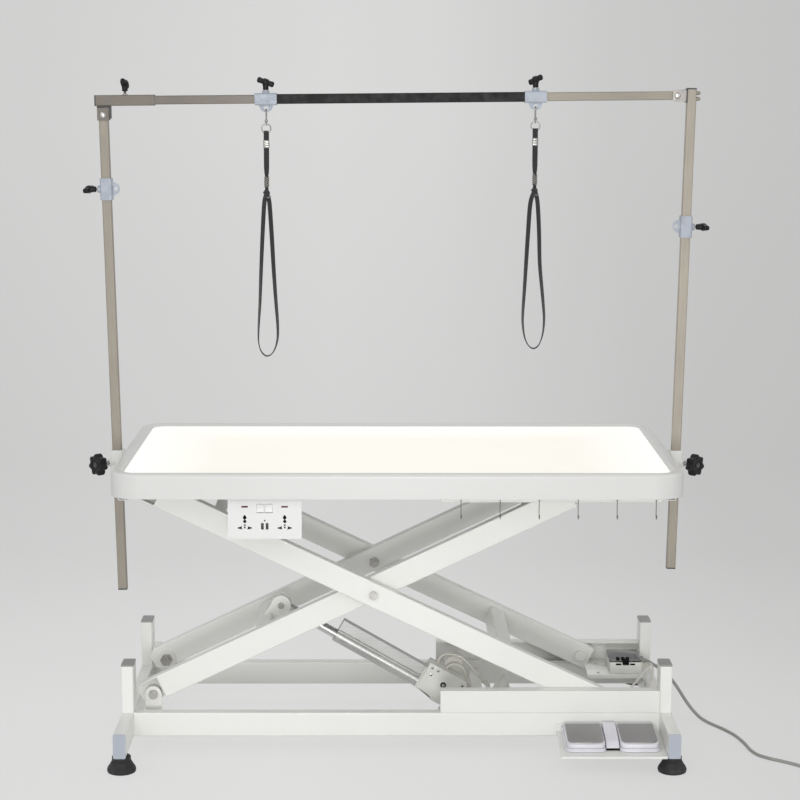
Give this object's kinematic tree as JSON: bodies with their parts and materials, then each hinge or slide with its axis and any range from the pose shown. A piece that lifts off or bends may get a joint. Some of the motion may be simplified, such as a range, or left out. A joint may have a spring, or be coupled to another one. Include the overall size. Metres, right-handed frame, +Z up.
{
  "type": "electric grooming table",
  "caption": "Powered scissor-lift grooming table with a lit top, telescopic two-post arch, sliding noose holders, power socket plate, tool hooks and foot pedals.",
  "frame": {"origin": "on the floor, at the middle of the feet", "axes": "+X to the user's right along the table, +Y to the rear, +Z up"},
  "size_m": [1.5949, 0.8307, 1.3861],
  "materials": {
    "white_frame": "gloss powder coat",
    "white_rim": "gloss",
    "lit_panel": "translucent white, lit from below",
    "end_cap": "satin",
    "dark_cap": "satin",
    "zinc": "zinc plated",
    "stainless": "brushed",
    "black_rubber": "matt",
    "black_plastic": "matt",
    "slider_paint": "satin",
    "actuator_aluminium": "anodised",
    "rod_steel": "polished",
    "housing_plastic": "satin",
    "socket_plastic": "gloss",
    "lamp_red": "gloss",
    "hook_wire": "plain wire",
    "strap": "woven",
    "clip_metal": "nickel plated",
    "tread": "satin",
    "pedal_plastic": "satin",
    "cream_cable": "satin",
    "cord_grey": "satin"
  },
  "bodies": {
    "base": {"base_frame": "white_frame", "base_tracks": "white_frame", "tube_end_caps": "end_cap", "lower_pivot_bolts": "zinc", "actuator_bracket": "white_frame", "pedal_tray": "white_frame", "pedal_housing": "pedal_plastic", "control_box": "housing_plastic", "control_cables": "cream_cable", "cord_gland": "cord_grey", "power_cord": "cord_grey", "cord_coil": "cord_grey", "cord_plug": "cord_grey"},
    "foot_front_left": {"foot_front_left": "black_rubber"},
    "foot_front_right": {"foot_front_right": "black_rubber"},
    "foot_rear_left": {"foot_rear_left": "black_rubber"},
    "foot_rear_right": {"foot_rear_right": "black_rubber"},
    "inner_arms": {"inner_arms": "white_frame", "inner_arm_bolts": "zinc"},
    "upper_rollers": {"upper_rollers": "housing_plastic"},
    "outer_arms": {"outer_arms": "white_frame"},
    "lower_rollers": {"lower_rollers": "housing_plastic"},
    "actuator_rod": {"actuator_rod": "rod_steel"},
    "actuator_tube": {"actuator_tube": "actuator_aluminium", "actuator_gear_housing": "housing_plastic", "actuator_lower_pin": "zinc"},
    "table": {"table_shell": "white_rim", "lit_panel": "lit_panel", "table_subframe": "white_frame", "upper_pivot_bolts": "zinc", "post_sockets": "white_frame", "socket_plate": "socket_plastic", "socket_lamps": "lamp_red"},
    "left_star_knob": {"left_star_knob": "black_plastic"},
    "right_star_knob": {"right_star_knob": "black_plastic"},
    "left_rocker": {"left_rocker": "socket_plastic"},
    "right_rocker": {"right_rocker": "socket_plastic"},
    "tool_hooks": {"tool_hooks": "hook_wire"},
    "left_post": {"left_post": "stainless", "left_post_caps": "dark_cap", "bar_sleeve": "stainless"},
    "sleeve_wing_knob": {"sleeve_wing_knob": "black_plastic"},
    "right_post": {"right_post": "stainless", "right_post_caps": "dark_cap", "crossbar": "stainless", "bar_grip": "black_rubber"},
    "bar_slider_left": {"bar_slider_left": "slider_paint"},
    "bar_slider_right": {"bar_slider_right": "slider_paint"},
    "post_slider_left": {"post_slider_left": "slider_paint"},
    "post_slider_right": {"post_slider_right": "slider_paint"},
    "bar_knob_left": {"bar_knob_left": "black_plastic"},
    "bar_knob_right": {"bar_knob_right": "black_plastic"},
    "post_knob_left": {"post_knob_left": "black_plastic"},
    "post_knob_right": {"post_knob_right": "black_plastic"},
    "noose_left": {"noose_clip_left": "clip_metal", "noose_strap_left": "strap"},
    "noose_right": {"noose_clip_right": "clip_metal", "noose_strap_right": "strap"},
    "left_pedal": {"left_pedal": "tread"},
    "right_pedal": {"right_pedal": "tread"}
  },
  "joints": [
    {"name": "lift", "type": "hinge", "parent": "base", "child": "inner_arms", "pos_m": [-0.506, 0, 0.1103], "axis": [0, -1, 0], "range_deg": [-17.75, 26.5]},
    {"name": "scissor_centre", "type": "hinge", "parent": "inner_arms", "child": "outer_arms", "pos_m": [-0.04839, 0, 0.32857], "axis": [0, -1, 0], "range_deg": [-53.1, 35.6]},
    {"name": "table_level", "type": "hinge", "parent": "outer_arms", "child": "table", "pos_m": [-0.506, 0, 0.54684], "axis": [0, -1, 0], "range_deg": [-17.8, 26.6]},
    {"name": "upper_roller_turn", "type": "hinge", "parent": "inner_arms", "child": "upper_rollers", "pos_m": [0.40922, 0, 0.54684], "axis": [0, 1, 0], "continuous": true},
    {"name": "lower_roller_turn", "type": "hinge", "parent": "outer_arms", "child": "lower_rollers", "pos_m": [0.40922, 0, 0.1103], "axis": [0, 1, 0], "continuous": true},
    {"name": "actuator_swing", "type": "hinge", "parent": "inner_arms", "child": "actuator_rod", "pos_m": [-0.24633, 0, 0.26739], "axis": [0, -1, 0], "range_deg": [-33.4, 22.4]},
    {"name": "actuator_extend", "type": "slide", "parent": "actuator_rod", "child": "actuator_tube", "axis": [0.8661, 0, -0.4999], "range_m": [-0.0797, 0.119]},
    {"name": "foot_front_left_screw", "type": "hinge", "parent": "base", "child": "foot_front_left", "pos_m": [-0.553, -0.308, 0], "axis": [0, 0, 1], "continuous": true},
    {"name": "foot_front_right_screw", "type": "hinge", "parent": "base", "child": "foot_front_right", "pos_m": [0.553, -0.308, 0], "axis": [0, 0, 1], "continuous": true},
    {"name": "foot_rear_left_screw", "type": "hinge", "parent": "base", "child": "foot_rear_left", "pos_m": [-0.553, 0.308, 0], "axis": [0, 0, 1], "continuous": true},
    {"name": "foot_rear_right_screw", "type": "hinge", "parent": "base", "child": "foot_rear_right", "pos_m": [0.553, 0.308, 0], "axis": [0, 0, 1], "continuous": true},
    {"name": "left_pedal_rock", "type": "hinge", "parent": "base", "child": "left_pedal", "pos_m": [0.379, -0.2086, 0.05719], "axis": [1, 0, 0], "range_deg": [0, 3.2], "stiffness_Nm_per_rad": 8, "springref_deg": -3.44},
    {"name": "right_pedal_rock", "type": "hinge", "parent": "base", "child": "right_pedal", "pos_m": [0.489, -0.2086, 0.05719], "axis": [1, 0, 0], "range_deg": [0, 3.2], "stiffness_Nm_per_rad": 8, "springref_deg": -3.44},
    {"name": "left_post_height", "type": "slide", "parent": "table", "child": "left_post", "axis": [-0.0209, 0, 0.9998], "range_m": [0, 0.2]},
    {"name": "right_post_height", "type": "slide", "parent": "table", "child": "right_post", "axis": [0.0209, 0, 0.9998], "range_m": [0, 0.2]},
    {"name": "left_star_turn", "type": "hinge", "parent": "table", "child": "left_star_knob", "pos_m": [-0.5895, 0, 0.57534], "axis": [-0.7071, -0.7071, 0], "continuous": true},
    {"name": "right_star_turn", "type": "hinge", "parent": "table", "child": "right_star_knob", "pos_m": [0.5895, 0, 0.57534], "axis": [0.7071, -0.7071, 0], "continuous": true},
    {"name": "left_rocker_tilt", "type": "hinge", "parent": "table", "child": "left_rocker", "pos_m": [-0.2709, -0.2905, 0.53624], "axis": [1, 0, 0], "range_deg": [0, 12]},
    {"name": "right_rocker_tilt", "type": "hinge", "parent": "table", "child": "right_rocker", "pos_m": [-0.2541, -0.2905, 0.53624], "axis": [1, 0, 0], "range_deg": [0, 12]},
    {"name": "hook_swing", "type": "hinge", "parent": "table", "child": "tool_hooks", "pos_m": [0.3175, -0.306, 0.55434], "axis": [1, 0, 0], "range_deg": [-45, 45]},
    {"name": "sleeve_knob_turn", "type": "hinge", "parent": "left_post", "child": "sleeve_wing_knob", "pos_m": [-0.55983, 0, 1.33064], "axis": [-0.0105, 0, 0.9999], "continuous": true},
    {"name": "bar_slider_left_move", "type": "slide", "parent": "right_post", "child": "bar_slider_left", "axis": [0.9999, 0, 0.0105], "range_m": [-0.19, 0]},
    {"name": "bar_knob_left_turn", "type": "hinge", "parent": "bar_slider_left", "child": "bar_knob_left", "pos_m": [-0.27048, 0, 1.33367], "axis": [-0.0105, 0, 0.9999], "continuous": true},
    {"name": "noose_left_swing", "type": "hinge", "parent": "bar_slider_left", "child": "noose_left", "pos_m": [-0.27029, 0, 1.31467], "axis": [0, 1, 0], "range_deg": [-30, 30]},
    {"name": "bar_slider_right_move", "type": "slide", "parent": "right_post", "child": "bar_slider_right", "axis": [0.9999, 0, 0.0105], "range_m": [0, 0.24]},
    {"name": "bar_knob_right_turn", "type": "hinge", "parent": "bar_slider_right", "child": "bar_knob_right", "pos_m": [0.28448, 0, 1.33948], "axis": [-0.0105, 0, 0.9999], "continuous": true},
    {"name": "noose_right_swing", "type": "hinge", "parent": "bar_slider_right", "child": "noose_right", "pos_m": [0.28468, 0, 1.32048], "axis": [0, 1, 0], "range_deg": [-30, 30]},
    {"name": "post_slider_left_move", "type": "slide", "parent": "left_post", "child": "post_slider_left", "axis": [-0.0209, 0, 0.9998], "range_m": [-0.45, 0.1]},
    {"name": "post_knob_left_turn", "type": "hinge", "parent": "post_slider_left", "child": "post_knob_left", "pos_m": [-0.60143, 0, 1.14888], "axis": [-0.9998, 0, -0.0209], "continuous": true},
    {"name": "post_slider_right_move", "type": "slide", "parent": "right_post", "child": "post_slider_right", "axis": [0.0209, 0, 0.9998], "range_m": [-0.4, 0.2]},
    {"name": "post_knob_right_turn", "type": "hinge", "parent": "post_slider_right", "child": "post_knob_right", "pos_m": [0.59984, 0, 1.07289], "axis": [0.9998, 0, -0.0209], "continuous": true}
  ],
  "couplings": [
    {"joint": "scissor_centre", "follows": "lift", "ratio": -2},
    {"joint": "table_level", "follows": "lift", "ratio": 1},
    {"joint": "actuator_swing", "follows": "lift", "ratio": -1.254},
    {"joint": "actuator_extend", "follows": "lift", "m_per_rad": 0.25669},
    {"joint": "right_post_height", "follows": "left_post_height", "ratio": 1}
  ]
}
